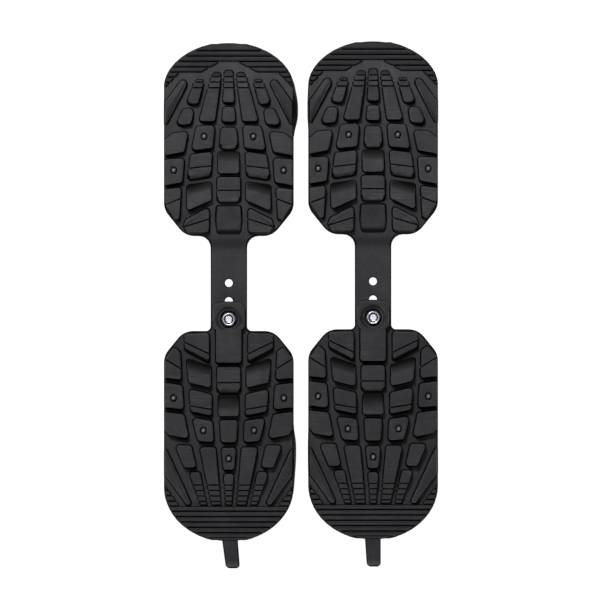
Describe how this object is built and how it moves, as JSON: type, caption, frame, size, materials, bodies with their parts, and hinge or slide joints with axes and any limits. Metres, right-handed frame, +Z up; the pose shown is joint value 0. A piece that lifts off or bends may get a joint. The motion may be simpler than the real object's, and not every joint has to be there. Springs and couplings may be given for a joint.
{
  "type": "shoe ice cleats",
  "caption": "Pair of rubber overshoe ice cleats: toe and heel cups with a blocky studded tread, joined by a holed strap and a bolt for length.",
  "frame": {"origin": "bottom centre of the pair's bounding box, on the surface that the cup rims lie on", "axes": "+Y towards the toes, +Z up out of the treads, +X towards the cleat on the right. The pair lies tread up, and is turned over to be worn."},
  "size_m": [0.1756, 0.3364, 0.0302],
  "materials": {
    "rubber": "charcoal moulded rubber with a dull satin sheen",
    "stud_steel": "grey hardened steel pins, dull sides and worn bright tips",
    "zinc_steel": "bright zinc-plated steel",
    "blue_nylon": "blue nylon locking ring"
  },
  "bodies": {
    "left_toe_half": {"left_toe_section": "rubber", "left_toe_stud_1": "stud_steel", "left_toe_stud_2": "stud_steel", "left_toe_stud_3": "stud_steel", "left_toe_stud_4": "stud_steel"},
    "left_heel_half": {"left_heel_section": "rubber", "left_heel_stud_1": "stud_steel", "left_heel_stud_2": "stud_steel", "left_heel_stud_3": "stud_steel", "left_heel_stud_4": "stud_steel", "left_heel_stud_5": "stud_steel", "left_washer": "zinc_steel"},
    "left_bolt_body": {"left_bolt": "zinc_steel"},
    "left_nut_body": {"left_lock_nut": "zinc_steel", "left_nut_insert": "blue_nylon"},
    "right_toe_half": {"right_toe_section": "rubber", "right_toe_stud_1": "stud_steel", "right_toe_stud_2": "stud_steel", "right_toe_stud_3": "stud_steel", "right_toe_stud_4": "stud_steel"},
    "right_heel_half": {"right_heel_section": "rubber", "right_heel_stud_1": "stud_steel", "right_heel_stud_2": "stud_steel", "right_heel_stud_3": "stud_steel", "right_heel_stud_4": "stud_steel", "right_heel_stud_5": "stud_steel", "right_washer": "zinc_steel"},
    "right_bolt_body": {"right_bolt": "zinc_steel"},
    "right_nut_body": {"right_lock_nut": "zinc_steel", "right_nut_insert": "blue_nylon"}
  },
  "joints": [
    {"name": "left_length", "type": "slide", "parent": "left_toe_half", "child": "left_heel_half", "axis": [0, 1, 0], "range_m": [-0.046, 0.023]},
    {"name": "left_bolt_turn", "type": "hinge", "parent": "left_heel_half", "child": "left_bolt_body", "pos_m": [-0.0459, -0.0085, 0.017], "axis": [0, 0, -1], "range_deg": [0, 2160]},
    {"name": "left_nut_travel", "type": "slide", "parent": "left_heel_half", "child": "left_nut_body", "axis": [0, 0, 1], "range_m": [0, 0.0048]},
    {"name": "pair_spread", "type": "slide", "parent": "left_toe_half", "child": "right_toe_half", "axis": [1, 0, 0], "range_m": [0, 0.1]},
    {"name": "right_length", "type": "slide", "parent": "right_toe_half", "child": "right_heel_half", "axis": [0, 1, 0], "range_m": [-0.046, 0.023]},
    {"name": "right_bolt_turn", "type": "hinge", "parent": "right_heel_half", "child": "right_bolt_body", "pos_m": [0.0459, -0.0074, 0.017], "axis": [0, 0, -1], "range_deg": [0, 2160]},
    {"name": "right_nut_travel", "type": "slide", "parent": "right_heel_half", "child": "right_nut_body", "axis": [0, 0, 1], "range_m": [0, 0.0048]}
  ],
  "couplings": [
    {"joint": "left_bolt_turn", "follows": "left_nut_travel", "rad_per_m": 7854},
    {"joint": "right_bolt_turn", "follows": "right_nut_travel", "rad_per_m": 7854}
  ]
}
